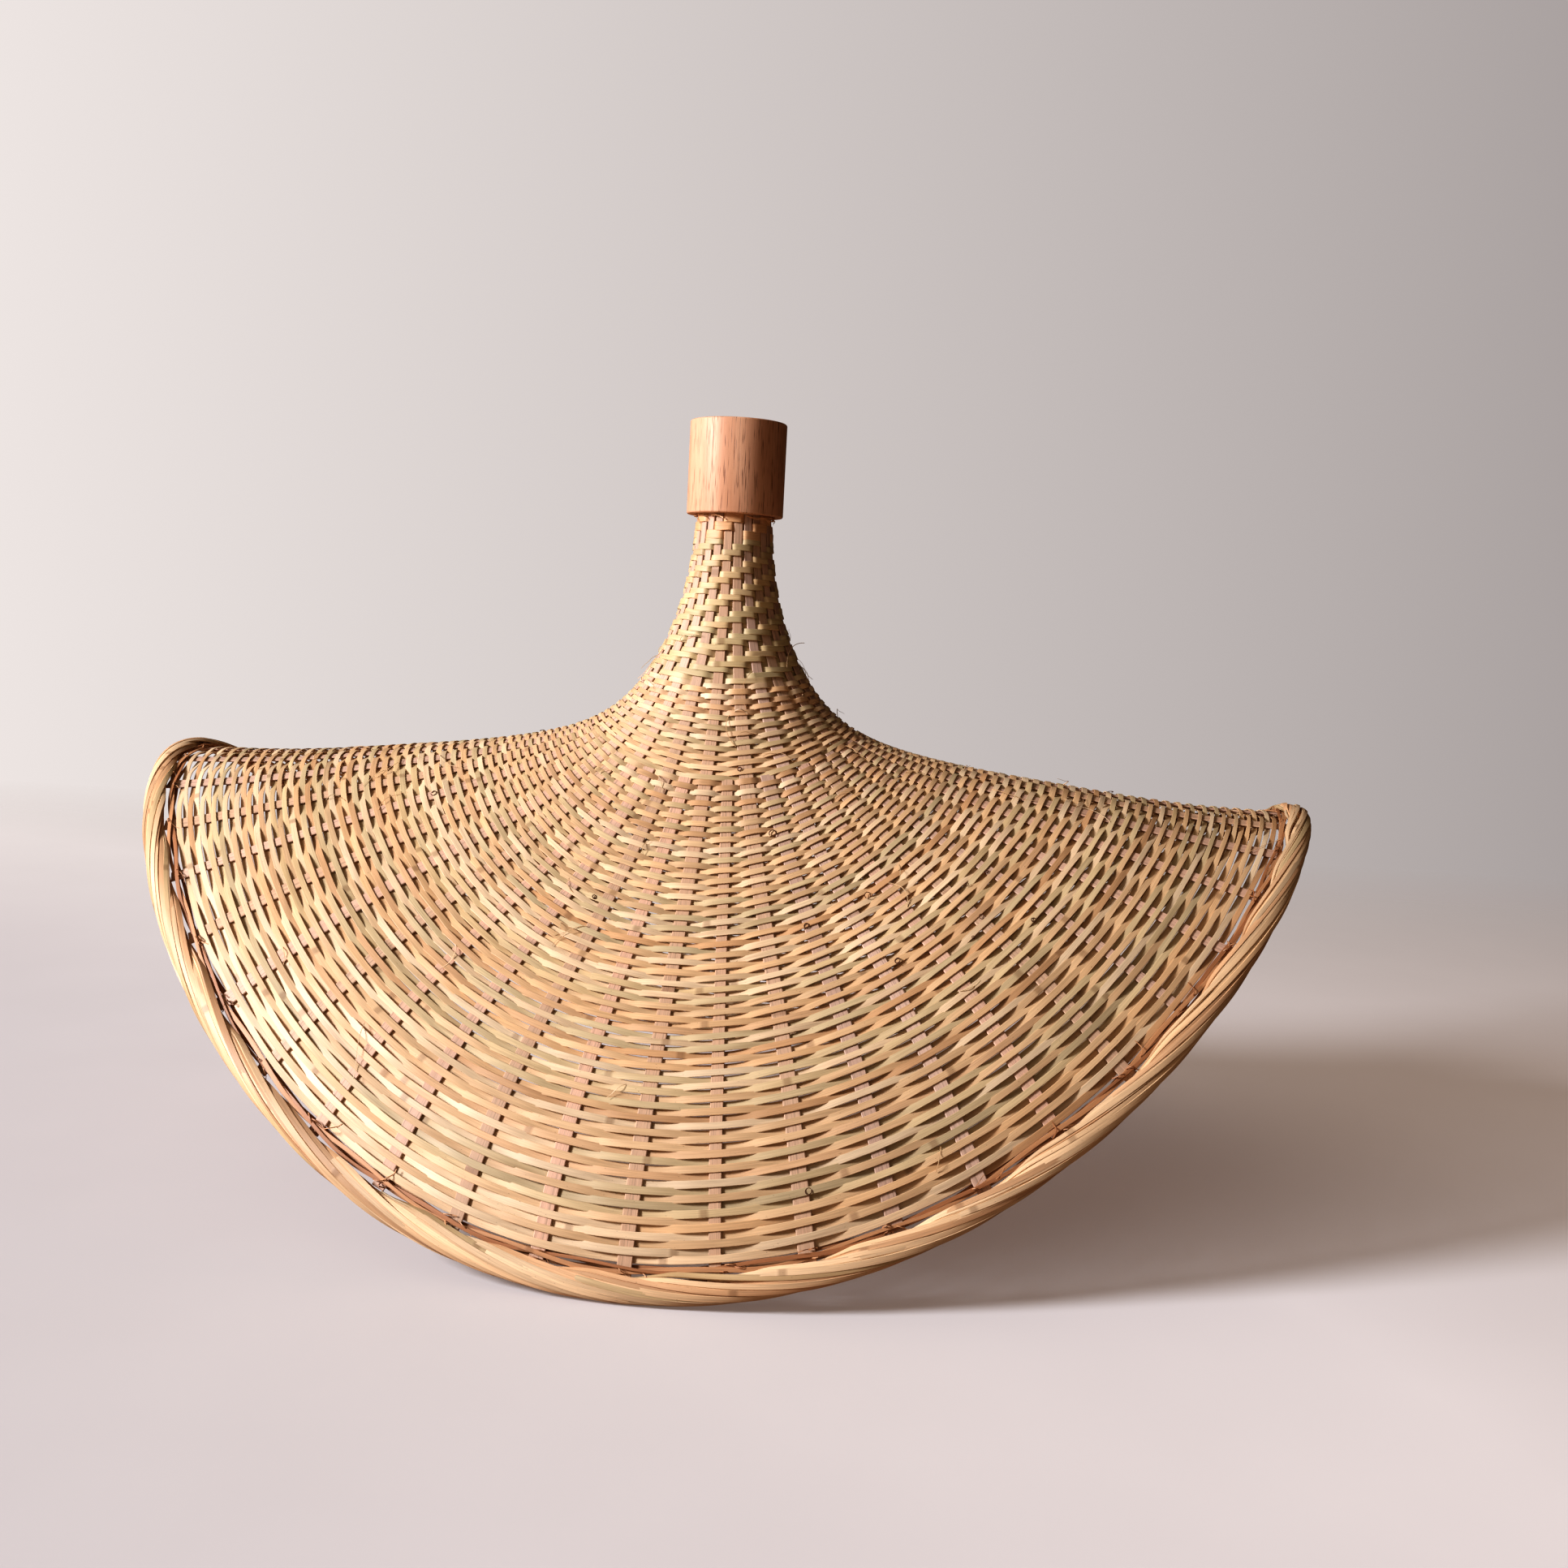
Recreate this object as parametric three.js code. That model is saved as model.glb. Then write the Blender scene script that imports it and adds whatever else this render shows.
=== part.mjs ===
// Woven bamboo pendant lampshade with a saddle-shaped brim and a turned wooden cap.
// Millimetres, +Z up. The origin is on the table under the centre of the neck.
// The wings point along +X and -X, and the low front and back of the brim along -Y and +Y.

import * as THREE from 'three';
import { ParametricGeometry } from 'three/addons/geometries/ParametricGeometry.js';

// ---- Driving dimensions ----

// Shape of the woven skin. A run is a distance down a front stake from the cap's lower edge.
const NECK_TOP = 314.9;                        // height of the cap's lower edge
const NECK_RADIUS = 18.6;                      // outside of the weave, at the cap
const RUN_LENGTH = 360;                        // from the cap to the last row of weft
const WING_SLOPES = [87, 62.5, 20.6, 8.2, 6, 0];   // degrees below level, at even steps of run
const FRONT_SLOPES = [87.6, 76, 52, 44.5, 47, 71];
const WING_TIGHTENING = 0.36;                  // how much closer the rows lie in the wing's flare
const TIGHT_START = 0.12;                      // where that begins, as a share of the run
const TIGHT_SPAN = 0.6;
const GATHER = 0.21;                           // how far the flare's stakes crowd to the wings
const CORNER_DROP_NECK = 0.10;                 // extra fall midway between a wing and the front
const CORNER_DROP_RIM = 0.053;
const SADDLE_START = 0.15;                     // where the round neck begins to become a saddle
const SADDLE_SPAN = 0.5;

// Weft: the rows of one weaving pattern make up one band.
const WEFT_THICKNESS = 1.2;
const BAND_GAP = 0.3;
const BANDS = [
  { name: 'neck_top_weft', from: -10, to: 12, steps: 2 },
  { name: 'neck_twill_weft', from: 12, to: 82, steps: 4 },
  { name: 'flare_weft', from: 82, to: 131, steps: 3 },
  { name: 'brim_weft_inner', from: 131, to: 208, steps: 3 },
  { name: 'brim_weft_middle', from: 208, to: 284, steps: 3 },
  { name: 'brim_weft_outer', from: 284, to: 360, steps: 3 },
];

// Stakes: flat strips on the inside of the weft.
const STAKES = 24;                             // main stakes, and as many added ones
const STAKE_THICKNESS = 0.8;
const STAKE_GAP = 0.9;                         // clearance between a stake and the weft
const STAKE_WIDTH_NECK = 3.3;
const STAKE_WIDTH_RIM = 6;
const STAKE_TOP = -11;                         // main stakes end inside the cap's socket
const ADDED_STAKE_START = 131;                 // added stakes start where the brim begins
const STAKE_END = 362;                         // just short of the border

// Rim border: a hoop wrapped by twisted strands.
const BORDER_REACH = 9.6;                      // from the last row of weft to the hoop's centre
const BORDER_FLATNESS = 0.62;                  // thickness of the border as a share of its width
const HOOP_RADIUS = 0.8;
const STRANDS = 4;
const STRAND_RADIUS = 1.8;
const STRAND_ORBIT = 4.5;                      // strand centre to hoop centre, across the width
const STRAND_TURNS = 6;                        // full twists around the whole rim

// Wooden cap.
const CAP_RADIUS = 23.6;
const CAP_HEIGHT = 45;
const CAP_CHAMFER = 0.8;
const SOCKET_RADIUS = 19.4;
const SOCKET_DEPTH = 12;
const CORD_BORE_RADIUS = 5;

// ---- Fineness of the facets ----

const AROUND = 48;
const RIM_STEPS = 80;
const STRAND_SIDES = 5;
const HOOP_SIDES = 4;
const CAP_SIDES = 40;
const PROFILE_STEPS = 240;

const TURN = 2 * Math.PI;

// ---- The woven skin ----

function smoothRamp(value, start, span) {
  const t = THREE.MathUtils.clamp((value - start) / span, 0, 1);
  return t * t * (3 - 2 * t);
}

// Slope in radians at a share of the run, as a Catmull-Rom curve through evenly spaced values.
function slopeAt(slopes, share) {
  const last = slopes.length - 1;
  const place = THREE.MathUtils.clamp(share, 0, 1) * last;
  const i = Math.min(Math.floor(place), last - 1);
  const f = place - i;
  const a = slopes[Math.max(i - 1, 0)];
  const b = slopes[i];
  const c = slopes[i + 1];
  const d = slopes[Math.min(i + 2, last)];
  const linear = (c - a) * f;
  const square = (2 * a - 5 * b + 4 * c - d) * f * f;
  const cube = (3 * b - 3 * c + d - a) * f * f * f;
  return THREE.MathUtils.degToRad((2 * b + linear + square + cube) / 2);
}

// Rows lie closer in the wing's flare, so a wing stake covers less length than a front one.
function wingPace(share) {
  const t = THREE.MathUtils.clamp((share - TIGHT_START) / TIGHT_SPAN, 0, 1);
  return 1 - WING_TIGHTENING * Math.sin(Math.PI * t) ** 2;
}

// One stake's side view: its distance from the axis and its drop, at even steps of run.
function traceProfile(slopes, pace) {
  const points = [new THREE.Vector2(NECK_RADIUS, 0)];
  const step = RUN_LENGTH / PROFILE_STEPS;
  for (let i = 0; i < PROFILE_STEPS; i += 1) {
    const share = (i + 0.5) / PROFILE_STEPS;
    const slope = slopeAt(slopes, share);
    const length = step * pace(share);
    const previous = points[i];
    const radius = previous.x + length * Math.cos(slope);
    const drop = previous.y + length * Math.sin(slope);
    points.push(new THREE.Vector2(radius, drop));
  }
  return points;
}

const WING_PROFILE = traceProfile(WING_SLOPES, wingPace);
const FRONT_PROFILE = traceProfile(FRONT_SLOPES, () => 1);

// Above the neck a profile goes straight up, and past the rim it keeps its last slope.
function profileAt(profile, run) {
  if (run < 0) {
    return new THREE.Vector2(NECK_RADIUS, run);
  }
  const place = (run / RUN_LENGTH) * PROFILE_STEPS;
  const i = Math.min(Math.floor(place), PROFILE_STEPS - 1);
  return profile[i].clone().lerp(profile[i + 1], place - i);
}

// Outer face of the weave. The angle counts around the axis from the +X wing.
function skinPoint(angle, run) {
  const share = THREE.MathUtils.clamp(run / RUN_LENGTH, 0, 1);
  const saddle = smoothRamp(share, SADDLE_START, SADDLE_SPAN);
  const turned = angle - GATHER * (1 - share) * saddle * Math.sin(2 * angle);
  const wing = profileAt(WING_PROFILE, run);
  const front = profileAt(FRONT_PROFILE, run);
  const corner = THREE.MathUtils.lerp(CORNER_DROP_NECK, CORNER_DROP_RIM, share);
  const frontness = Math.sin(turned) ** 2 + corner * saddle * Math.sin(2 * turned) ** 2;
  const drop = wing.y + (front.y - wing.y) * frontness;
  return new THREE.Vector3(
    wing.x * Math.cos(turned),
    front.x * Math.sin(turned),
    NECK_TOP - drop,
  );
}

// Unit directions at a point of the skin: down the stake and outwards.
function skinFrame(angle, run) {
  const down = skinPoint(angle, run + 0.5).sub(skinPoint(angle, run - 0.5)).normalize();
  const around = skinPoint(angle + 0.001, run).sub(skinPoint(angle - 0.001, run));
  const out = new THREE.Vector3().crossVectors(down, around).normalize();
  return { down, out };
}

function offsetPoint(angle, run, offset) {
  return skinPoint(angle, run).addScaledVector(skinFrame(angle, run).out, offset);
}

function runSteps(from, to, steps) {
  return Array.from({ length: steps + 1 }, (_, i) => THREE.MathUtils.lerp(from, to, i / steps));
}

// ---- Materials ----

function bamboo(color) {
  return new THREE.MeshStandardMaterial({ color, roughness: 0.6, metalness: 0 });
}

function addMesh(group, name, geometry, material) {
  const mesh = new THREE.Mesh(geometry, material);
  mesh.name = name;
  group.add(mesh);
  return mesh;
}

// ---- Pieces ----

// A band is a closed ring. Its section runs down the inner face and back up the outer face.
function weftBand({ from, to, steps }) {
  const runs = runSteps(from + BAND_GAP / 2, to - BAND_GAP / 2, steps);
  const corners = runs.map((run) => ({ run, offset: -WEFT_THICKNESS }));
  corners.push(...runs.reverse().map((run) => ({ run, offset: 0 })));
  const sections = corners.length;
  return new ParametricGeometry((u, v, target) => {
    const corner = corners[Math.round(v * sections) % sections];
    target.copy(offsetPoint((u % 1) * TURN, corner.run, corner.offset));
  }, AROUND, sections);
}

// A stake is a long box bent along the inside of the skin.
function stakeStrip(angle, runs) {
  const steps = runs.length - 1;
  const geometry = new THREE.BoxGeometry(1, 1, 1, 1, steps, 1);
  const positions = geometry.attributes.position;
  const outer = -WEFT_THICKNESS - STAKE_GAP;
  for (let i = 0; i < positions.count; i += 1) {
    const run = runs[Math.round((positions.getY(i) + 0.5) * steps)];
    const widening = smoothRamp(run, 0, RUN_LENGTH);
    const width = THREE.MathUtils.lerp(STAKE_WIDTH_NECK, STAKE_WIDTH_RIM, widening);
    const { down, out } = skinFrame(angle, run);
    const side = new THREE.Vector3().crossVectors(down, out);
    const offset = positions.getZ(i) > 0 ? outer : outer - STAKE_THICKNESS;
    const point = skinPoint(angle, run);
    point.addScaledVector(out, offset);
    point.addScaledVector(side, positions.getX(i) * width);
    positions.setXYZ(i, point.x, point.y, point.z);
  }
  return geometry;
}

// A line that circles the rim just below the weave, twisting around the hoop's centre line.
class RimLine extends THREE.Curve {
  constructor(orbit, phase) {
    super();
    this.orbit = orbit;
    this.phase = phase;
  }

  getPoint(t, target = new THREE.Vector3()) {
    const angle = t * TURN;
    const twist = this.phase - STRAND_TURNS * angle;
    const { down, out } = skinFrame(angle, RUN_LENGTH);
    target.copy(skinPoint(angle, RUN_LENGTH));
    target.addScaledVector(down, BORDER_REACH + this.orbit * Math.cos(twist));
    target.addScaledVector(out, this.orbit * BORDER_FLATNESS * Math.sin(twist));
    return target;
  }
}

function rimTube(orbit, phase, radius, sides) {
  return new THREE.TubeGeometry(new RimLine(orbit, phase), RIM_STEPS, radius, sides, true);
}

// The cap: a turned cylinder with a socket for the neck below and a bore for the cord above.
function capGeometry() {
  const section = [
    [CORD_BORE_RADIUS, SOCKET_DEPTH],
    [SOCKET_RADIUS, SOCKET_DEPTH],
    [SOCKET_RADIUS, 0],
    [CAP_RADIUS - CAP_CHAMFER, 0],
    [CAP_RADIUS, CAP_CHAMFER],
    [CAP_RADIUS, CAP_HEIGHT - CAP_CHAMFER],
    [CAP_RADIUS - CAP_CHAMFER, CAP_HEIGHT],
    [CORD_BORE_RADIUS, CAP_HEIGHT],
    [CORD_BORE_RADIUS, SOCKET_DEPTH],
  ];
  const outline = section.map(([radius, height]) => new THREE.Vector2(radius, height));
  return new THREE.LatheGeometry(outline, CAP_SIDES).rotateX(Math.PI / 2);
}

// ---- Assembly ----

const lampshade = new THREE.Group();

const cap = addMesh(lampshade, 'wood_cap', capGeometry(), bamboo(0xd9b48a));
cap.position.z = NECK_TOP;

for (const band of BANDS) {
  addMesh(lampshade, band.name, weftBand(band), bamboo(0xd6b888));
}

const bandRuns = BANDS.flatMap(({ from, to, steps }) => runSteps(from, to, steps).slice(1));
for (let i = 0; i < STAKES; i += 1) {
  const number = String(i + 1).padStart(2, '0');
  const angle = (i / STAKES) * TURN;
  const mainRuns = [STAKE_TOP, ...bandRuns.slice(0, -1), STAKE_END];
  addMesh(lampshade, `main_stake_${number}`, stakeStrip(angle, mainRuns), bamboo(0xcdaa8c));
  const addedRuns = mainRuns.filter((run) => run >= ADDED_STAKE_START);
  const between = angle + TURN / (2 * STAKES);
  addMesh(lampshade, `added_stake_${number}`, stakeStrip(between, addedRuns), bamboo(0xcdaa8c));
}

addMesh(lampshade, 'rim_hoop', rimTube(0, 0, HOOP_RADIUS, HOOP_SIDES), bamboo(0xb8905c));
for (let i = 0; i < STRANDS; i += 1) {
  const strand = rimTube(STRAND_ORBIT, (i / STRANDS) * TURN, STRAND_RADIUS, STRAND_SIDES);
  addMesh(lampshade, `border_strand_${i + 1}`, strand, bamboo(0xdab98c));
}

export default lampshade;
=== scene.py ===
"""Looks of a woven bamboo pendant lampshade, built around its CAD model. Metres, +Z up."""
import math

import bpy
import numpy as np
from mathutils import Matrix, Vector


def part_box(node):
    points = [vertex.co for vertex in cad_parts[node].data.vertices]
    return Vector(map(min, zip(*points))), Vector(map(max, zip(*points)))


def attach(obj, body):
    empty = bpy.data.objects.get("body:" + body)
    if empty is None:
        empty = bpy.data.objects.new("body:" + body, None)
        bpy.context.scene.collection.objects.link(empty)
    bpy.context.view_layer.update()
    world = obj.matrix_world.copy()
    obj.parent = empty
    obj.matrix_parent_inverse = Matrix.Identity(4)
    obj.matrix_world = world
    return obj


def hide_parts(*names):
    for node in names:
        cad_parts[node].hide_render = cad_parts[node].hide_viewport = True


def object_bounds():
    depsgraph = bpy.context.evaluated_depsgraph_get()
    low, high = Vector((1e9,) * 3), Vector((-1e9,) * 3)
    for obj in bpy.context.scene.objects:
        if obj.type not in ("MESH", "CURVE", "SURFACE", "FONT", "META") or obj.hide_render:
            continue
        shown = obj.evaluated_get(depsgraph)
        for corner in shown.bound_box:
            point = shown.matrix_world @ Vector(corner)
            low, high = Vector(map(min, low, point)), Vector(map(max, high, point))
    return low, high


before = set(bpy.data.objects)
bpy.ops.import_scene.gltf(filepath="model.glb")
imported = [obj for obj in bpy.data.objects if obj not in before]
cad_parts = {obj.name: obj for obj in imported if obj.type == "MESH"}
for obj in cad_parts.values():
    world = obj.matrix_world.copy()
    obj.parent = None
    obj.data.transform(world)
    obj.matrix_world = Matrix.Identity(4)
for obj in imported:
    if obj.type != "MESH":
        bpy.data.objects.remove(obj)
cad_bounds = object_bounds()

MM = 0.001
TURN = 2 * math.pi
BODY = "root"

# ---- Sizes that the CAD model sets ----

cap_low, cap_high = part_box("wood_cap")
NECK_TOP = cap_low.z
NECK_RADIUS = 18.6 * MM       # of the skin, where it meets the cap
CAP_RADIUS = cap_high.x
CAP_HEIGHT = cap_high.z - cap_low.z
SOCKET_RADIUS = 19.4 * MM
SOCKET_DEPTH = 12 * MM
CORD_BORE_RADIUS = 5 * MM

# The skin is the outer face of the weave. A run is a distance down a front stake, and a share
# of the run is 0 under the cap and 1 at the last row.
RUN_LENGTH = 360 * MM
WING_SLOPES = (87, 62.5, 20.6, 8.2, 6, 0)       # degrees below level, at even steps of run
FRONT_SLOPES = (87.6, 76, 52, 44.5, 47, 71)
WING_TIGHTENING = 0.36        # how much shorter a wing stake is where the saddle is tightest
TIGHT_START = 0.12            # share of the run where the tightening starts
TIGHT_SPAN = 0.6              # share of the run that it takes
GATHER = 0.21                 # how far the stakes crowd towards the wings, above the rim
CORNER_DROP_NECK = 0.10       # extra share of the drop halfway between wing and front, at the neck
CORNER_DROP_RIM = 0.053       # and at the rim
SADDLE_START = 0.15           # share of the run where the round neck starts to turn into a saddle
SADDLE_SPAN = 0.5
PROFILE_STEPS = 240
DRIFT = 0.5 * MM              # how far the rows wander from even spacing

# ---- Sizes of the strips ----

MAIN_STAKES = 24
ALL_STAKES = 48
WEAVE_DEPTH = 1.1 * MM        # from the skin to the middle of the weave
WEFT_THICKNESS = 0.5 * MM
WEFT_LIFT = 0.95 * MM         # how far a weft strip swings out over a stake
WEFT_DIP = 1.1 * MM           # how far it swings in under one
WEFT_FILL = 1.15              # mean strip width as a share of the row pitch
WEFT_SWELL = -0.09            # narrower where it passes over a stake, wider where it dives
WING_OPENING = 0.45           # how much narrower, by the same share, at the tips of the wings
WING_OPENING_START = 230 * MM    # run where the weave of the wings starts to open
WING_OPENING_SPAN = 110 * MM
WING_OPENING_FOCUS = 10       # a higher power keeps the opening closer to the wing tips
STRIP_NUDGE = 0.05            # chance shift, swell and tilt of a weft strip at each stake
STRIP_SWELL = 0.04
STRIP_TILT = 0.10
STRIP_WIDTH_SPREAD = 0.02     # chance difference in width between whole strips
STAKE_THICKNESS = 0.8 * MM
STAKE_WIDTH_NECK = 3.8 * MM
STAKE_WIDTH_RIM = 6.0 * MM
STAKE_WIDENING = 150 * MM     # run over which a stake widens
STAKE_STEP = 2.5 * MM
STAKE_SWAY = 0.35 * MM        # how far a stake wanders sideways
STAKE_IN_CAP = 10 * MM        # length of a main stake inside the socket
STAKE_PAST_RIM = 6 * MM       # length of a stake inside the border
BRIM_START = 131 * MM
BORDER_REACH = 9.6 * MM       # from the last row to the middle of the border
BORDER_FLATNESS = 0.62        # its thickness as a share of its width
BORDER_TWISTS = 6.5           # turns of the border strips in one round of the rim
LONGEST_SEED = 50             # strips draw their grain from places 0 to this

# Weaving patterns: the run in mm where each starts and ends, its number of rows and of stakes,
# and how many stakes a strip passes over at a time.
NECK_TOP_ROWS = {"start": -8, "end": 12, "rows": 5, "stakes": MAIN_STAKES, "reach": 2}
TWILL_ROWS = {"start": 12, "end": 82, "rows": 26, "stakes": MAIN_STAKES, "reach": 2}
FLARE_ROWS = {"start": 82, "end": 131, "rows": 19, "stakes": MAIN_STAKES, "reach": 1}
BRIM_ROWS = {"start": 131, "end": 360, "rows": 80, "stakes": ALL_STAKES, "reach": 1}


def unit(vectors):
    return vectors / np.linalg.norm(vectors, axis=-1, keepdims=True)


def smooth_ramp(value, start, span):
    t = np.clip((value - start) / span, 0, 1)
    return t * t * (3 - 2 * t)


# ---- The skin ----

def slope_at(slopes, share):
    """Slope in radians at a share of the run: a Catmull-Rom curve through even steps."""
    knots = np.array(slopes, float)
    last = len(knots) - 1
    place = np.clip(share, 0, 1) * last
    i = np.minimum(np.floor(place).astype(int), last - 1)
    f = place - i
    a = knots[np.maximum(i - 1, 0)]
    b = knots[i]
    c = knots[i + 1]
    d = knots[np.minimum(i + 2, last)]
    square = (2 * a - 5 * b + 4 * c - d) * f * f
    cube = (3 * b - 3 * c + d - a) * f * f * f
    return np.radians((2 * b + (c - a) * f + square + cube) / 2)


def trace_profile(slopes, tightening):
    """Distance from the axis and drop of one stake, at even steps of run."""
    share = (np.arange(PROFILE_STEPS) + 0.5) / PROFILE_STEPS
    t = np.clip((share - TIGHT_START) / TIGHT_SPAN, 0, 1)
    length = (1 - tightening * np.sin(math.pi * t) ** 2) * RUN_LENGTH / PROFILE_STEPS
    slope = slope_at(slopes, share)
    radius = NECK_RADIUS + np.concatenate([[0], np.cumsum(length * np.cos(slope))])
    drop = np.concatenate([[0], np.cumsum(length * np.sin(slope))])
    return radius, drop


WING_PROFILE = trace_profile(WING_SLOPES, WING_TIGHTENING)
FRONT_PROFILE = trace_profile(FRONT_SLOPES, 0)


def profile_at(profile, run):
    """A profile goes straight up above the neck, and keeps its last slope past the rim."""
    radius, drop = profile
    place = np.maximum(run, 0) / RUN_LENGTH * PROFILE_STEPS
    i = np.minimum(np.floor(place).astype(int), PROFILE_STEPS - 1)
    f = place - i
    reached = radius[i] + (radius[i + 1] - radius[i]) * f
    fallen = drop[i] + (drop[i + 1] - drop[i]) * f
    return reached, fallen + np.minimum(run, 0)


def skin_point(angle, run):
    angle, run = np.broadcast_arrays(angle, run)
    share = np.clip(run / RUN_LENGTH, 0, 1)
    saddle = smooth_ramp(share, SADDLE_START, SADDLE_SPAN)
    turned = angle - GATHER * (1 - share) * saddle * np.sin(2 * angle)
    wing_radius, wing_drop = profile_at(WING_PROFILE, run)
    front_radius, front_drop = profile_at(FRONT_PROFILE, run)
    corner = CORNER_DROP_NECK + (CORNER_DROP_RIM - CORNER_DROP_NECK) * share
    frontness = np.sin(turned) ** 2 + corner * saddle * np.sin(2 * turned) ** 2
    height = NECK_TOP - wing_drop - (front_drop - wing_drop) * frontness
    x = wing_radius * np.cos(turned)
    y = front_radius * np.sin(turned)
    return np.stack([x, y, height], axis=-1)


def skin_frame(angle, run):
    """Point, unit directions down, around and out, and how far apart unit runs lie."""
    step = 0.5 * MM           # run and angle between the points that give the directions
    turn = 0.001
    down = (skin_point(angle, run + step) - skin_point(angle, run - step)) / (2 * step)
    around = unit(skin_point(angle + turn, run) - skin_point(angle - turn, run))
    normal = np.cross(down, around)
    spacing = np.linalg.norm(normal, axis=-1)
    return skin_point(angle, run), unit(down), around, unit(normal), spacing


def drift(angle, run):
    """Slow wander of the rows, nearly the same for neighbours, so that they never cross."""
    share = np.clip(run / RUN_LENGTH, 0, 1)
    fade = np.sin(math.pi * share)
    wander = np.sin(2 * angle + 9 * share + 0.7) + 0.7 * np.sin(5 * angle - 13 * share)
    wander = wander + 0.4 * np.sin(11 * angle + 31 * share + 2)
    return DRIFT * fade * wander


# ---- Strips ----

# Eased edges and a slightly crowned face: places across the width and through the thickness.
SECTION = np.array([
    (-0.5, -0.15), (-0.45, -0.5), (0.45, -0.5), (0.5, -0.15),
    (0.5, 0.2), (0.45, 0.46), (0.0, 0.54), (-0.45, 0.46), (-0.5, 0.2),
])
EDGE_ANGLE = math.radians(22)  # edges that turn more than this stay crisp


class StripMesh:
    """Gathers strips into one mesh. Each point keeps its strip's tone and its place on it."""

    def __init__(self):
        self.points = []
        self.quads = []
        self.ends = []
        self.tones = []
        self.places = []
        self.count = 0

    def add(self, path, side, width, thickness, tone, seed):
        """A strip along path. side points across it, and its face looks along side x path."""
        steps = len(path)
        tangent = unit(np.gradient(path, axis=0))
        normal = unit(np.cross(side, tangent))
        side = np.cross(tangent, normal)
        width = np.broadcast_to(width, steps)
        thickness = np.broadcast_to(thickness, steps)
        across = SECTION[None, :, :1] * width[:, None, None]
        through = SECTION[None, :, 1:] * thickness[:, None, None]
        corners = path[:, None] + across * side[:, None] + through * normal[:, None]
        sides = len(SECTION)
        first = self.count + np.arange(steps - 1)[:, None] * sides + np.arange(sides)
        following = self.count + np.arange(steps - 1)[:, None] * sides
        following = following + (np.arange(sides) + 1) % sides
        quads = np.stack([first, first + sides, following + sides, following], axis=-1)
        self.quads.append(quads.reshape(-1, 4))
        start_cap = self.count + np.arange(sides)
        end_cap = start_cap[::-1] + (steps - 1) * sides
        self.ends += [start_cap, end_cap]
        lengths = np.linalg.norm(np.diff(path, axis=0), axis=1)
        along = np.concatenate([[0], np.cumsum(lengths)])
        place = np.empty((steps, sides, 3))
        place[..., 0] = along[:, None]
        place[..., 1] = across[..., 0]
        place[..., 2] = seed
        self.points.append(corners.reshape(-1, 3))
        self.places.append(place.reshape(-1, 3))
        self.tones.append(np.tile([*tone, 1.0], (steps * sides, 1)))
        self.count += steps * sides

    def build(self, name, material, stands_for):
        quads = np.concatenate(self.quads)
        ends = np.array(self.ends)
        corners = np.concatenate([quads.ravel(), ends.ravel()])
        quad_starts = np.arange(len(quads)) * 4
        end_starts = len(quads) * 4 + np.arange(len(ends)) * ends.shape[1]
        mesh = bpy.data.meshes.new(name)
        mesh.vertices.add(self.count)
        mesh.vertices.foreach_set("co", np.concatenate(self.points).ravel())
        mesh.loops.add(len(corners))
        mesh.loops.foreach_set("vertex_index", corners)
        mesh.polygons.add(len(quads) + len(ends))
        mesh.polygons.foreach_set("loop_start", np.concatenate([quad_starts, end_starts]))
        mesh.update(calc_edges=True)
        mesh.shade_smooth()
        mesh.set_sharp_from_angle(angle=EDGE_ANGLE)
        tone = mesh.color_attributes.new("tone", "FLOAT_COLOR", "POINT")
        tone.data.foreach_set("color", np.concatenate(self.tones).ravel())
        place = mesh.attributes.new("place", "FLOAT_VECTOR", "POINT")
        place.data.foreach_set("vector", np.concatenate(self.places).ravel())
        add_piece(name, mesh, material, stands_for)


def add_piece(name, mesh, material, stands_for):
    piece = bpy.data.objects.new(name, mesh)
    bpy.context.scene.collection.objects.link(piece)
    mesh.materials.append(material)
    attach(piece, BODY)
    if stands_for:
        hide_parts(*stands_for)


# ---- Tones ----

def tone(red, green, blue):
    """A colour as it looks on a screen, turned into the linear light that shaders use."""
    return tuple((value / 255) ** 2.2 for value in (red, green, blue))


# Each tone comes with the share of the strips that have it.
WEFT_TONES = (
    (0.44, tone(222, 187, 146)),   # straw
    (0.22, tone(232, 204, 168)),   # pale
    (0.18, tone(212, 188, 148)),   # greenish
    (0.12, tone(219, 180, 140)),   # orange tan
    (0.04, tone(202, 162, 122)),   # brown
)
TWILL_TONES = (
    (0.5, tone(208, 188, 146)),
    (0.5, tone(216, 190, 148)),
)
NECK_TOP_TONES = (
    (0.7, tone(224, 180, 136)),
    (0.3, tone(206, 162, 120)),
)
STAKE_TONES = (
    (0.6, tone(214, 180, 158)),    # pinkish tan
    (0.4, tone(208, 174, 146)),
)
BORDER_TONES = (
    (0.55, tone(228, 196, 158)),
    (0.30, tone(212, 172, 134)),
    (0.15, tone(206, 180, 140)),
)
INNER_TONES = (
    (0.6, tone(200, 152, 112)),
    (0.4, tone(172, 122, 86)),
)
CURL_TONE = tone(84, 50, 32)


def opaque(colour):
    return (*colour, 1.0)


def pick_tone(rng, tones, spread=0.06):
    """One of the tones, by its share, a little lighter or darker and warmer or cooler."""
    shares = np.array([share for share, colour in tones])
    index = rng.choice(len(tones), p=shares / shares.sum())
    brightness = 1 + rng.normal(0, spread)
    warmth = rng.normal(0, 0.02)
    red, green, blue = tones[index][1]
    return (red * brightness * (1 + warmth), green * brightness, blue * brightness * (1 - warmth))


# ---- Materials ----

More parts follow.
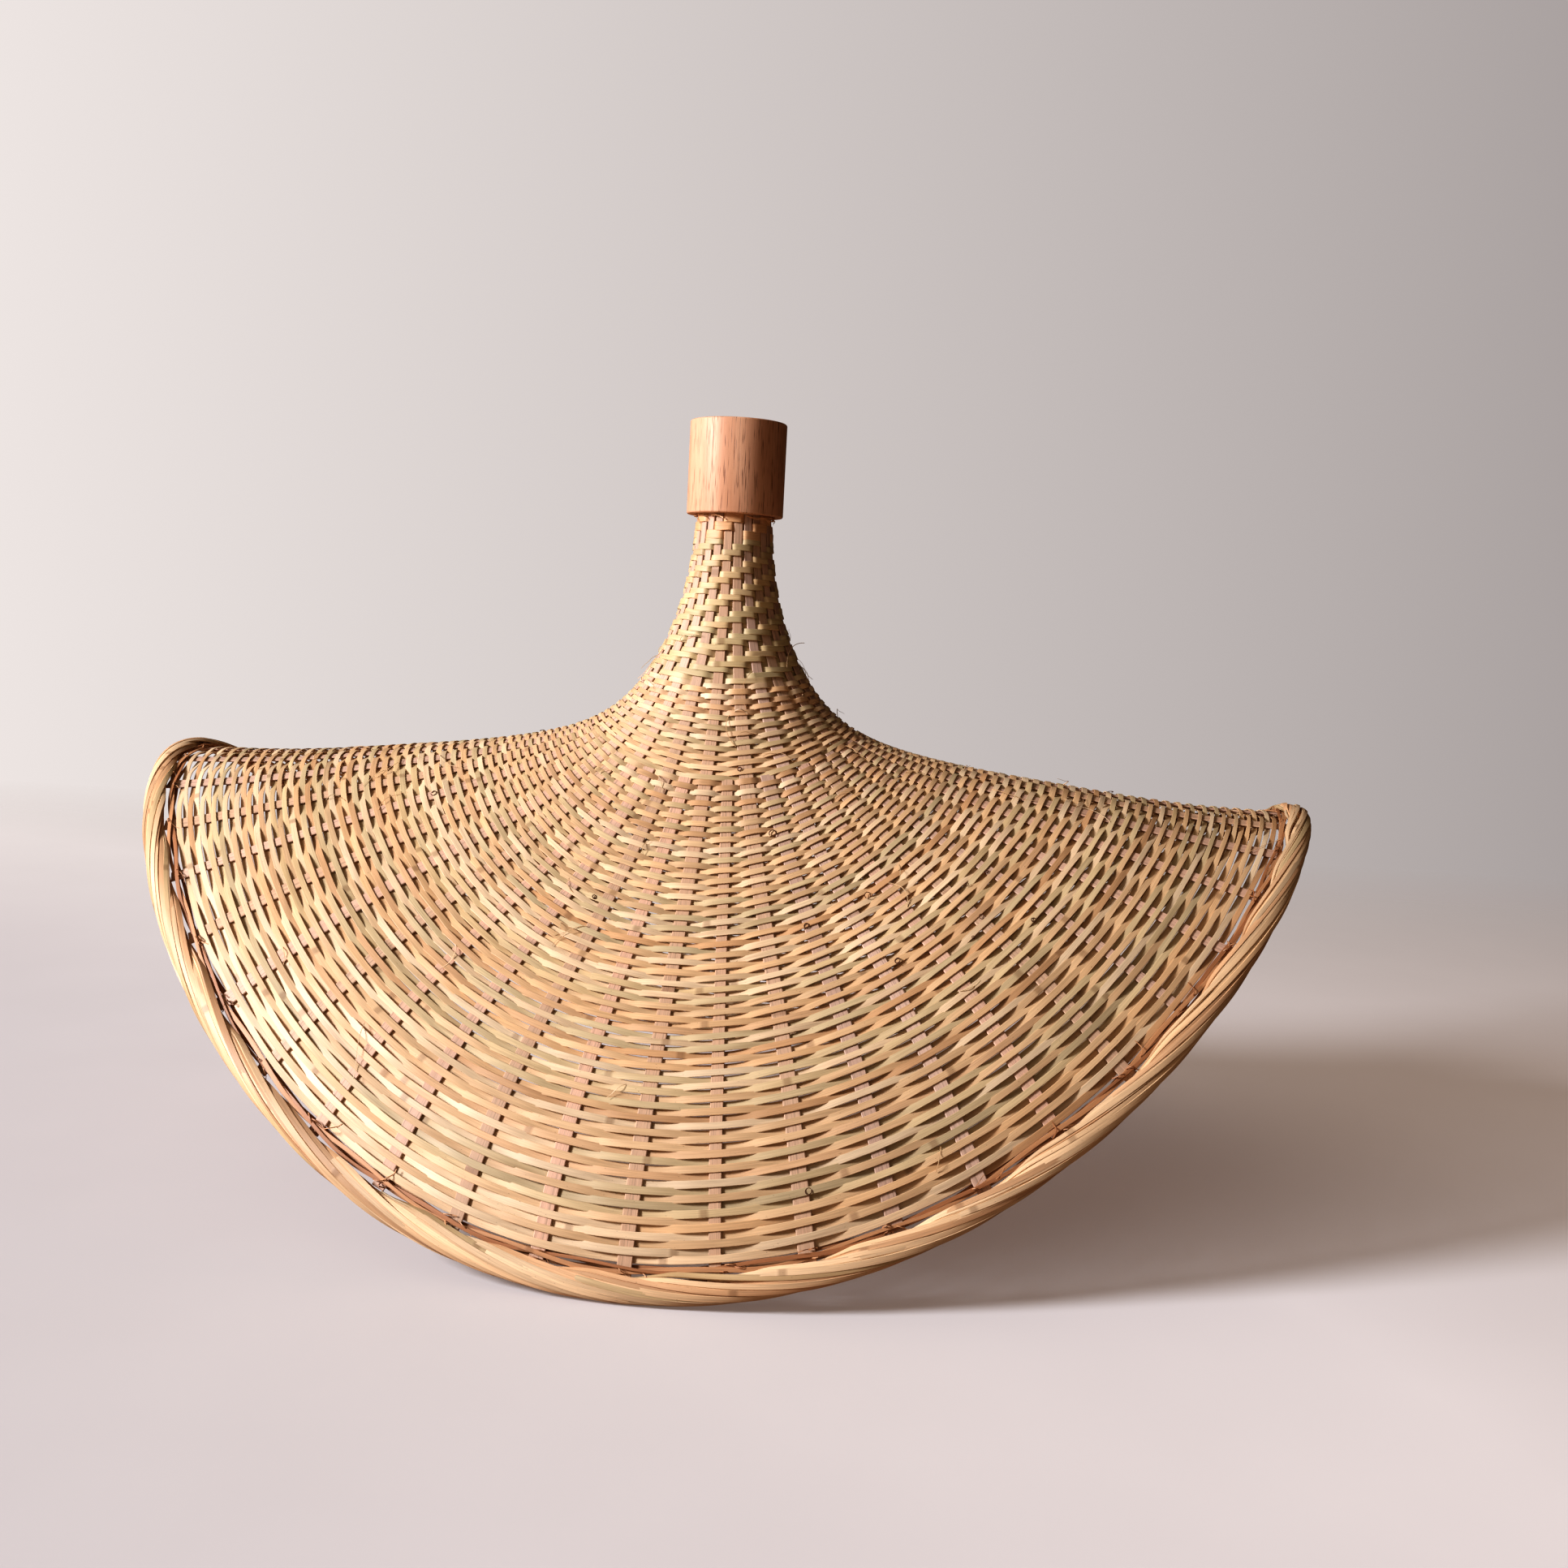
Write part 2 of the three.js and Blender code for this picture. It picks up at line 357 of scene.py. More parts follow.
class Nodes:
    """The node tree of a material or a world, with short calls for the nodes in use."""

    def __init__(self, owner):
        owner.use_nodes = True
        self.tree = owner.node_tree

    def node(self, kind, inputs=None, **settings):
        made = self.tree.nodes.new("ShaderNode" + kind)
        for key, value in settings.items():
            setattr(made, key, value)
        for key, value in (inputs or {}).items():
            self.feed(made.inputs[key], value)
        return made

    def feed(self, socket, value):
        if isinstance(value, bpy.types.NodeSocket):
            self.tree.links.new(value, socket)
        else:
            socket.default_value = value

    def math(self, operation, first, second=0.0):
        return self.node("Math", {0: first, 1: second}, operation=operation).outputs[0]

    def stretched(self, vector, scale):
        made = self.node("VectorMath", {0: vector, 1: scale}, operation="MULTIPLY")
        return made.outputs[0]

    def noise(self, vector, detail=2.0, roughness=0.5):
        inputs = {"Vector": vector, "Scale": 1.0, "Detail": detail, "Roughness": roughness}
        return self.node("TexNoise", inputs).outputs["Fac"]

    def ramp(self, value, low, high, to_low=0.0, to_high=1.0):
        inputs = {
            "Value": value, "From Min": low, "From Max": high,
            "To Min": to_low, "To Max": to_high,
        }
        return self.node("MapRange", inputs).outputs[0]

    def mix(self, share, first, second, blend="MIX"):
        made = self.node("Mix", data_type="RGBA", blend_type=blend)
        self.feed(made.inputs[0], share)
        self.feed(made.inputs[6], first)
        self.feed(made.inputs[7], second)
        return made.outputs[2]

    def grey(self, value):
        return self.node("CombineColor", {0: value, 1: value, 2: value}).outputs[0]

    def bump(self, height, distance, strength=1.0):
        inputs = {"Height": height, "Distance": distance, "Strength": strength}
        return self.node("Bump", inputs).outputs[0]


class Shader(Nodes):
    """A new material and its node tree."""

    def __init__(self, name):
        self.material = bpy.data.materials.new(name)
        super().__init__(self.material)
        self.surface = self.tree.nodes["Principled BSDF"]

    def finish(self, colour, roughness, normal=None):
        self.feed(self.surface.inputs["Base Color"], colour)
        self.feed(self.surface.inputs["Roughness"], roughness)
        if normal is not None:
            self.feed(self.surface.inputs["Normal"], normal)


# How the patterns of the bamboo are stretched: along the strip, across it, and from strip to strip.
FIBRE_SCALE = (70, 3000, 7.3)
THREAD_SCALE = (22, 1500, 5.9)
BLOTCH_SCALE = (26, 320, 3.1)
SPECK_SCALE = (800, 2400, 1.7)
THREAD_COLOUR = (0.22, 0.15, 0.11)
BLOTCH_COLOUR = (0.30, 0.155, 0.065)
SPECK_COLOUR = (0.12, 0.055, 0.025)
SPECK_STRENGTH = 0.6
JOINT_COLOUR = (0.22, 0.11, 0.05)
JOINT_STRENGTH = 0.45
JOINT_SPACING = 0.31
JOINT_HEIGHT = 1.5            # of the ridge at a culm joint, as a multiple of the fibres'
FIBRE_DEPTH = 0.08 * MM
FIBRE_BUMP = 0.6


def bamboo_material(name, roughness, streaks, browning, threading):
    """Split bamboo: fibres along the strip, dark threads, blotches, specks and culm joints."""
    shader = Shader(name)
    colour = shader.node("Attribute", attribute_name="tone").outputs["Color"]
    place = shader.node("Attribute", attribute_name="place").outputs["Vector"]
    parts = shader.node("SeparateXYZ", {0: place}).outputs

    fibres = shader.noise(shader.stretched(place, FIBRE_SCALE), 4.0, 0.65)
    threads = shader.noise(shader.stretched(place, THREAD_SCALE), 1.0)
    blotches = shader.noise(shader.stretched(place, BLOTCH_SCALE), 2.0)
    specks = shader.noise(shader.stretched(place, SPECK_SCALE), 1.0)

    # A narrow dark line crosses the strip at every culm joint.
    shifted = shader.math("MULTIPLY", parts["X"], 1 / JOINT_SPACING)
    shifted = shader.math("ADD", shifted, parts["Z"])
    distance = shader.math("SUBTRACT", shader.math("FRACT", shifted), 0.5)
    joint = shader.ramp(shader.math("ABSOLUTE", distance), 0.003, 0.0075, 1.0, 0.0)

    light = shader.ramp(fibres, 0.25, 0.75, 1 - streaks, 1 + streaks * 0.5)
    thread_share = shader.ramp(threads, 0.56, 0.66, 0.0, threading)
    blotch_share = shader.ramp(blotches, 0.52, 0.85, 0.0, browning)
    speck_share = shader.ramp(specks, 0.74, 0.80, 0.0, SPECK_STRENGTH)
    joint_share = shader.math("MULTIPLY", joint, JOINT_STRENGTH)
    colour = shader.mix(1.0, colour, shader.grey(light), "MULTIPLY")
    colour = shader.mix(thread_share, colour, opaque(THREAD_COLOUR))
    colour = shader.mix(blotch_share, colour, opaque(BLOTCH_COLOUR))
    colour = shader.mix(speck_share, colour, opaque(SPECK_COLOUR))
    colour = shader.mix(joint_share, colour, opaque(JOINT_COLOUR))

    gloss = shader.ramp(fibres, 0.2, 0.8, roughness - 0.08, roughness + 0.12)
    height = shader.math("ADD", fibres, shader.math("MULTIPLY", joint, JOINT_HEIGHT))
    shader.finish(colour, gloss, shader.bump(height, FIBRE_DEPTH, FIBRE_BUMP))
    return shader.material


CAP_BAND_DARK = tone(212, 162, 130)
CAP_BAND_LIGHT = tone(230, 184, 152)
CAP_GRAIN = tone(184, 130, 98)
CAP_PORE = tone(104, 60, 42)
WARP_SCALE = (55, 55, 9)
PORE_SCALE = (1900, 1900, 62)
GRAIN_SCALE = (3600, 3600, 60)
BANDS_ACROSS_X = 260
BANDS_ACROSS_Y = 90
BAND_WARP = 14.0
PORE_DEPTH = 0.07 * MM
PORE_BUMP = 0.7


def cap_material():
    """Turned light hardwood: growth bands, and pores drawn out along the grain."""
    shader = Shader("cap_wood_finish")
    place = shader.node("TexCoord").outputs["Object"]
    parts = shader.node("SeparateXYZ", {0: place}).outputs

    warp = shader.noise(shader.stretched(place, WARP_SCALE), 2.0)
    across_x = shader.math("MULTIPLY", parts["X"], BANDS_ACROSS_X)
    across_y = shader.math("MULTIPLY", parts["Y"], BANDS_ACROSS_Y)
    bands = shader.math("ADD", across_x, across_y)
    bands = shader.math("ADD", bands, shader.math("MULTIPLY", warp, BAND_WARP))
    bands = shader.ramp(shader.math("SINE", bands), -1.0, 1.0)
    pores = shader.noise(shader.stretched(place, PORE_SCALE), 2.0, 0.6)
    pores = shader.ramp(pores, 0.585, 0.68)
    grain = shader.noise(shader.stretched(place, GRAIN_SCALE), 3.0, 0.6)

    grain_share = shader.ramp(grain, 0.40, 0.72, 0.0, 0.45)
    pore_share = shader.math("MULTIPLY", pores, 0.8)
    colour = shader.mix(bands, opaque(CAP_BAND_DARK), opaque(CAP_BAND_LIGHT))
    colour = shader.mix(grain_share, colour, opaque(CAP_GRAIN))
    colour = shader.mix(pore_share, colour, opaque(CAP_PORE))

    gloss = shader.ramp(grain, 0.3, 0.7, 0.44, 0.58)
    pits = shader.math("MULTIPLY", pores, -1.0)
    height = shader.math("ADD", pits, shader.math("MULTIPLY", grain, 0.25))
    shader.finish(colour, gloss, shader.bump(height, PORE_DEPTH, PORE_BUMP))
    return shader.material


WEFT_FINISH = bamboo_material(
    "weft_finish", roughness=0.50, streaks=0.22, browning=0.35, threading=0.10,
)
STAKE_FINISH = bamboo_material(
    "stake_finish", roughness=0.55, streaks=0.24, browning=0.20, threading=0.35,
)
BORDER_FINISH = bamboo_material(
    "border_finish", roughness=0.50, streaks=0.24, browning=0.40, threading=0.15,
)


# ---- Weft ----

def lift_at(phase, reach):
    """Swing of a weft strip, 1 over a stake and -1 under it. Phase counts stakes."""
    wave = np.cos(math.pi * (phase - (reach - 1) / 2) / reach)
    # Each pass flattens the crests and makes the dive between two stakes steeper.
    for _ in range(2 * reach - 1):
        wave = wave * (1.5 - 0.5 * wave * wave)
    return wave


def cut_places(rng, turns, strips):
    """Where the strips of a row begin and end, in repeats of the pattern."""
    if strips == 1:
        return [0, turns]
    return [0, int(rng.integers(turns // 3, 2 * turns // 3)), turns]


def add_weft_row(mesh, rows, row, rng, tones):
    """One row is woven from strips whose ends hide under stakes."""
    stakes = rows["stakes"]
    reach = rows["reach"]
    pitch = (rows["end"] - rows["start"]) * MM / rows["rows"]
    run = rows["start"] * MM + (row + 0.5) * pitch
    repeat = 2 * reach
    wide = stakes == ALL_STAKES
    samples = 8 if wide else 12
    turns = stakes // repeat
    hidden = reach + (reach - 1) // 2
    first = int(rng.integers(turns)) * repeat + hidden - row
    cuts = cut_places(rng, turns, 2 if wide else 1)
    for begin, finish in zip(cuts, cuts[1:]):
        span = (finish - begin) * repeat
        stake = first + begin * repeat + np.linspace(0, span, span * samples + 1)
        angle = stake / stakes * TURN
        crossings = np.arange(span + 1) + stake[0]
        nudge = np.interp(stake, crossings, rng.normal(0, STRIP_NUDGE, span + 1))
        swell = np.interp(stake, crossings, rng.normal(0, STRIP_SWELL, span + 1))
        tilt = np.interp(stake, crossings, rng.normal(0, STRIP_TILT, span + 1))
        lift = lift_at(stake + row, reach)
        place = run + drift(angle, run) + nudge * pitch
        point, _, around, out, spacing = skin_frame(angle, place)
        swing = WEFT_LIFT * np.maximum(lift, 0) + WEFT_DIP * np.minimum(lift, 0)
        path = point + out * (swing - WEAVE_DEPTH)[:, None]
        opened = smooth_ramp(run, WING_OPENING_START, WING_OPENING_SPAN)
        opening = WING_OPENING * np.cos(angle) ** WING_OPENING_FOCUS * opened
        width = pitch * spacing * (WEFT_FILL + WEFT_SWELL * lift + swell - opening)
        width = width * (1 + rng.normal(0, STRIP_WIDTH_SPREAD))
        side = np.cross(around, out) + out * tilt[:, None]
        colour = pick_tone(rng, tones)
        mesh.add(path, side, width, WEFT_THICKNESS, colour, rng.uniform(0, LONGEST_SEED))


# The piece, its pattern, its first row, the row after its last, its tones, and its CAD node.
WEFTS = (
    ("weft_neck_top", NECK_TOP_ROWS, 0, 5, NECK_TOP_TONES, "neck_top_weft"),
    ("weft_neck_twill", TWILL_ROWS, 0, 26, TWILL_TONES, "neck_twill_weft"),
    ("weft_flare", FLARE_ROWS, 0, 19, WEFT_TONES, "flare_weft"),
    ("weft_brim_1", BRIM_ROWS, 0, 13, WEFT_TONES, "brim_weft_inner"),
    ("weft_brim_2", BRIM_ROWS, 13, 27, WEFT_TONES, "brim_weft_inner"),
    ("weft_brim_3", BRIM_ROWS, 27, 40, WEFT_TONES, "brim_weft_middle"),
    ("weft_brim_4", BRIM_ROWS, 40, 53, WEFT_TONES, "brim_weft_middle"),
    ("weft_brim_5", BRIM_ROWS, 53, 67, WEFT_TONES, "brim_weft_outer"),
    ("weft_brim_6", BRIM_ROWS, 67, 80, WEFT_TONES, "brim_weft_outer"),
)
FIRST_WEFT_SEED = 11


def add_wefts():
    for i, (name, rows, first_row, after_last, tones, stands_for) in enumerate(WEFTS):
        rng = np.random.default_rng(FIRST_WEFT_SEED + i)
        mesh = StripMesh()
        for row in range(first_row, after_last):
            add_weft_row(mesh, rows, row, rng, tones)
        mesh.build(name, WEFT_FINISH, [stands_for])


add_wefts()


# ---- Stakes ----

STAKE_SEED = 21


def add_stake(name, angle, start, stands_for, rng):
    """One stake down the skin, with its own width, slow swell and sway."""
    end = RUN_LENGTH + STAKE_PAST_RIM
    steps = int((end - start) / STAKE_STEP)
    run = np.linspace(start, end, steps)
    share = smooth_ramp(run, 0, STAKE_WIDENING)
    width = STAKE_WIDTH_NECK + (STAKE_WIDTH_RIM - STAKE_WIDTH_NECK) * share
    width = width * (1 + rng.normal(0, 0.06) * share + rng.normal(0, 0.04))
    width = width * (1 + 0.04 * np.sin(run * rng.uniform(20, 45) + rng.uniform(0, TURN)))
    sway = STAKE_SWAY * share * np.sin(run * rng.uniform(12, 25) + rng.uniform(0, TURN))
    point, _, around, out, _ = skin_frame(angle, run)
    path = point - out * WEAVE_DEPTH + around * sway[:, None]
    mesh = StripMesh()
    colour = pick_tone(rng, STAKE_TONES)
    mesh.add(path, -around, width, STAKE_THICKNESS, colour, rng.uniform(0, LONGEST_SEED))
    mesh.build(name, STAKE_FINISH, [stands_for])


def add_stakes():
    """Main stakes from inside the cap, and between them the added stakes of the brim."""
    rng = np.random.default_rng(STAKE_SEED)
    for i in range(MAIN_STAKES):
        number = f"{i + 1:02d}"
        angle = i / MAIN_STAKES * TURN
        between = angle + TURN / ALL_STAKES
        main, added = "main_stake_" + number, "added_stake_" + number
        add_stake("woven_" + main, angle, -STAKE_IN_CAP, main, rng)
        add_stake("woven_" + added, between, BRIM_START, added, rng)


add_stakes()


# ---- Border ----

FIRST_BORDER_SEED = 31
CORE_SEED = 35
TWINE_SEED = 36
BORDER_GROUPS = 4             # the strips are shared out over as many pieces
STRIPS_PER_STAKE = 4
STRAND_STEPS = 72
LEAD = 180                    # degrees around the border where a strip sets out
LEAD_STEP = 15                # each strip of a stake sets out this much later
START_ORBIT = 3.4             # mm from the border's middle line to a strip, at its ends
ORBIT_RISE = 2.8              # mm that it rises to lie on top
ORBIT_SINK = 2.7              # mm that it sinks again along the way
ORBIT_STEP = 0.15             # mm that each strip of a stake lies below the one before
CORE_STRIPS = 9
CORE_STEPS = 361
CORE_THICKNESS = 1.1 * MM
TWINE_STEPS = 961
TWINE_WAVES = 24
TWINE_THICKNESS = 0.6 * MM


def rim_frame(angle):
    return skin_frame(angle, np.full_like(angle, RUN_LENGTH))[:4]


def add_border_strip(mesh, angle, orbit, twist, width, thickness, colour, seed):
    """A strip around the border's middle line. Twist 0 looks down past the rim, 90 outwards."""
    point, down, around, out = rim_frame(angle)
    reach = BORDER_REACH + orbit * np.cos(twist)
    offset = orbit * BORDER_FLATNESS * np.sin(twist)
    path = point + down * reach[:, None] + out * offset[:, None]
    radial = down * (BORDER_FLATNESS * np.cos(twist))[:, None] + out * np.sin(twist)[:, None]
    side = np.cross(around, unit(radial))
    mesh.add(path, side, width, thickness, colour, seed)


def add_border_strand(mesh, stake, strip, rng):
    """One split stake end. It sets out inside the border, rises over it and sinks in again."""
    start = stake / ALL_STAKES * TURN + rng.normal(0, 0.008)
    turned = math.radians(rng.uniform(300, 340))
    t = np.linspace(0, 1, STRAND_STEPS)
    angle = start + turned / BORDER_TWISTS * t
    lead = math.radians(LEAD - LEAD_STEP * strip + rng.normal(0, 7))
    twist = lead - turned * t
    ends = smooth_ramp(t, 0, 0.10) * smooth_ramp(1 - t, 0, 0.12)
    bow = 0.25 * np.sin(TURN * t * rng.uniform(1.0, 2.2) + rng.uniform(0, TURN))
    depth = rng.uniform(-0.4, 0.4)
    orbit = START_ORBIT + ORBIT_RISE * ends - ORBIT_SINK * t - ORBIT_STEP * strip
    orbit = (orbit + (bow + depth) * ends) * MM
    breadth = 0.8 * np.abs(np.sin(angle)) + rng.uniform(1.2, 2.3)
    width = breadth * MM * (0.5 + 0.5 * ends)
    thickness = rng.uniform(0.8, 1.15) * MM
    colour = pick_tone(rng, BORDER_TONES, 0.12)
    seed = rng.uniform(0, LONGEST_SEED)
    add_border_strip(mesh, angle, orbit, twist, width, thickness, colour, seed)


def add_border_weave():
    """The split ends of the stakes. Each lies over the last and is buried by the next."""
    for group in range(BORDER_GROUPS):
        rng = np.random.default_rng(FIRST_BORDER_SEED + group)
        mesh = StripMesh()
        for stake in range(group, ALL_STAKES, BORDER_GROUPS):
            for strip in range(STRIPS_PER_STAKE):
                add_border_strand(mesh, stake, strip, rng)
        number = group + 1
        stands_for = [f"border_strand_{number}"]
        mesh.build(f"border_weave_{number}", BORDER_FINISH, stands_for)


def add_border_core():
    """Brown strips that wind slowly along the middle of the border."""
    rng = np.random.default_rng(CORE_SEED)
    mesh = StripMesh()
    for i in range(CORE_STRIPS):
        angle = np.linspace(0, TURN, CORE_STEPS) + rng.uniform(0, TURN)
        twist = i / CORE_STRIPS * TURN - 3 * (angle - angle[0])
        orbit = (2.7 + 0.35 * np.sin(7 * angle + i)) * MM
        width = rng.uniform(2.4, 3.0) * MM
        colour = pick_tone(rng, INNER_TONES)
        seed = rng.uniform(0, LONGEST_SEED)
        add_border_strip(mesh, angle, orbit, twist, width, CORE_THICKNESS, colour, seed)
    mesh.build("border_core", BORDER_FINISH, ["rim_hoop"])


def add_border_twine():
    """Thin brown strips twined along the last row, on the outside and on the inside."""
    rng = np.random.default_rng(TWINE_SEED)
    mesh = StripMesh()
    # Height in mm above the skin, and the phase of the wave.
    lay = ((0.3, 0.0), (0.3, 2.6), (-2.9, 0.9), (-2.9, 4.0))
    for height, phase in lay:
        angle = np.linspace(0, TURN, TWINE_STEPS) + rng.uniform(0, TURN)
        point, down, around, out = rim_frame(angle)
        wave = TWINE_WAVES * angle + phase
        reach = (2.5 + 1.1 * np.sin(wave) + 0.5 * np.sin(5 * angle + phase)) * MM
        offset = (height + 0.55 * np.cos(wave)) * MM
        path = point + down * reach[:, None] + out * offset[:, None]
        width = rng.uniform(1.3, 1.8) * MM * (1 + 0.2 * np.sin(9 * angle + phase))
        side = np.cross(around, out)
        colour = pick_tone(rng, INNER_TONES)
        mesh.add(path, side, width, TWINE_THICKNESS, colour, rng.uniform(0, LONGEST_SEED))
    mesh.build("border_twine", BORDER_FINISH, [])


add_border_weave()
add_border_core()
add_border_twine()


# ---- Loose fibres ----

FIBRE_SEED = 41
HAIR_STEPS = 14
HAIRS = 70
CURLS = 26
TUFT_HAIRS = 3                # at each stake, where it turns into the border
NECK_HAIRS = 30


def add_hair(mesh, rng, angle, run, lift, length, heading, curl, thickness, colour):
    """A tapering hair that starts on the skin. Heading 0 runs around, a quarter turn down."""
    frames = skin_frame(np.array([angle]), np.array([run]))
    point, down, around, out = [part[0] for part in frames[:4]]
    t = np.linspace(0, 1, HAIR_STEPS)
    turn = heading + curl * t
    stride = length / (HAIR_STEPS - 1)
    x = np.concatenate([[0], np.cumsum(np.cos(turn[:-1]))]) * stride
    y = np.concatenate([[0], np.cumsum(np.sin(turn[:-1]))]) * stride
    rise = lift * np.sin(math.pi * np.minimum(t * 1.4, 1)) + 0.1 * MM
    path = point + around * x[:, None] + down * y[:, None] + out * rise[:, None]
    side = np.tile(out, (HAIR_STEPS, 1))
    taper = 1.05 - 0.8 * t
    mesh.add(path, side, thickness * taper, thickness, colour, rng.uniform(0, LONGEST_SEED))


def add_fibres():
    """Stray hairs of bamboo, small dark curls, and ragged ends at the cap and the border."""
    rng = np.random.default_rng(FIBRE_SEED)
    mesh = StripMesh()
    for _ in range(HAIRS):
        add_hair(
            mesh, rng, rng.uniform(0, TURN), rng.uniform(60, 355) * MM,
            rng.uniform(0.3, 2.2) * MM, rng.uniform(6, 24) * MM,
            rng.uniform(0, TURN), rng.uniform(-2.0, 2.0),
            rng.uniform(0.18, 0.32) * MM, pick_tone(rng, WEFT_TONES),
        )
    for _ in range(CURLS):
        add_hair(
            mesh, rng, rng.uniform(0, TURN), rng.uniform(110, 350) * MM,
            0.5 * MM, rng.uniform(5, 9) * MM,
            rng.uniform(0, TURN), rng.uniform(5.0, 8.5),
            rng.uniform(0.25, 0.4) * MM, CURL_TONE,
        )
    for stake in range(ALL_STAKES):
        for _ in range(TUFT_HAIRS):
            angle = stake / ALL_STAKES * TURN + rng.normal(0, 0.012)
            add_hair(
                mesh, rng, angle, RUN_LENGTH + rng.uniform(0.5, 4) * MM,
                rng.uniform(0.6, 2.6) * MM, rng.uniform(3, 9) * MM,
                rng.uniform(-0.6, 0.6), rng.uniform(-1.5, 1.5),
                rng.uniform(0.25, 0.5) * MM, pick_tone(rng, INNER_TONES),
            )
    for _ in range(NECK_HAIRS):
        add_hair(
            mesh, rng, rng.uniform(0, TURN), rng.uniform(0, 1.5) * MM,
            rng.uniform(0.4, 1.2) * MM, rng.uniform(3, 8) * MM,
            rng.uniform(-0.5, 0.5), rng.uniform(-1, 1),
            rng.uniform(0.3, 0.6) * MM, pick_tone(rng, NECK_TOP_TONES),
        )
    mesh.build("loose_fibres", WEFT_FINISH, [])


add_fibres()


# ---- Cap ----

def rounded(corner_radius, centre_radius, centre_height, start, end, steps=5):
    """Points of a small arc, as radius and height. Angles in degrees from outwards."""
    angles = np.radians(np.linspace(start, end, steps))
    return [
        (centre_radius + corner_radius * math.cos(a), centre_height + corner_radius * math.sin(a))
        for a in angles
    ]


CAP_SIDES = 160
CAP_EDGE = 0.8 * MM           # how far the cap's outer edges are rounded
BORE_EDGE = 0.5 * MM
CAP_CREASE = math.radians(50)


def add_cap():
    """The section runs from the socket's ceiling down, around the outside and into the bore."""
    socket_lip = SOCKET_RADIUS + BORE_EDGE
    bore_lip = CORD_BORE_RADIUS + BORE_EDGE
    outside = CAP_RADIUS - CAP_EDGE
    section = [(CORD_BORE_RADIUS, SOCKET_DEPTH), (SOCKET_RADIUS, SOCKET_DEPTH)]
    section += rounded(BORE_EDGE, socket_lip, BORE_EDGE, 180, 270)
    section += rounded(CAP_EDGE, outside, CAP_EDGE, 270, 360)
    section += rounded(CAP_EDGE, outside, CAP_HEIGHT - CAP_EDGE, 0, 90)
    section += rounded(BORE_EDGE, bore_lip, CAP_HEIGHT - BORE_EDGE, 90, 180)
    angle = np.arange(CAP_SIDES) / CAP_SIDES * TURN
    rings = np.array(section)
    x = rings[:, :1] * np.cos(angle)
    y = rings[:, :1] * np.sin(angle)
    z = np.broadcast_to(rings[:, 1:] + NECK_TOP, x.shape)
    points = np.stack([x, y, z], axis=-1).reshape(-1, 3)
    faces = []
    for i in range(len(section)):
        ring = i * CAP_SIDES
        next_ring = (i + 1) % len(section) * CAP_SIDES
        for j in range(CAP_SIDES):
            k = (j + 1) % CAP_SIDES
            faces.append((ring + j, ring + k, next_ring + k, next_ring + j))
    mesh = bpy.data.meshes.new("turned_cap")
    mesh.from_pydata(points.tolist(), [], faces)
    mesh.update()
    mesh.shade_smooth()
    add_piece("turned_cap", mesh, cap_material(), ["wood_cap"])
    mesh.set_sharp_from_angle(angle=CAP_CREASE)


add_cap()


# ---- Stage ----

WINDOW_PLACE = Vector((-1.31, -0.88, 0.85))
WINDOW_RADIUS = 0.22
WINDOW_POWER = 124
WINDOW_COLOUR = (1.0, 0.99, 1.04)
SKY_DIRECTION = (-0.85, -0.45, 0.27)    # the side that the dim light all round comes from
SKY_COLOUR = (1.0, 0.78, 0.60)
SKY_STRENGTH = 0.34
SKY_DARK = -0.5               # nothing comes from directions that face it less than this
SKY_BRIGHT = 0.9              # and full strength from those that face it more than this
BACKDROP_LEFT = tone(203, 197, 195)
BACKDROP_RIGHT = tone(155, 149, 148)
CLOTH_DARK = (0.71, 0.71, 0.73)
CLOTH_LIGHT = (0.77, 0.77, 0.79)
CLOTH_SCALE = (9, 9, 9)
CLOTH_BOUNCE = (0.25, 0.15, 0.10)       # the colour that it throws back onto the shade
# painted light: the cloth glows faintly, for the camera only, which lifts its shadows
CLOTH_GLOW = (1.0, 0.78, 0.70)
CLOTH_GLOW_STRENGTH = 0.125
EVEN_DISTANCE = 1.85          # the cloth keeps its own colour this far from the window
EVEN_POWER = 3.0
EVEN_LIMIT = 1.15
FADE_START = 0.3              # the cloth fades into the backdrop between these depths
FADE_END = 1.3
FLOOR_HALF = 4.0
CAMERA_PLACE = (0.115, -0.772, 0.2583)
CAMERA_YAW = math.radians(6.21)
CAMERA_PITCH = math.radians(5.41)
CAMERA_ROLL = math.radians(2.92)
SENSOR_WIDTH = 36.0
LENS = 36.1


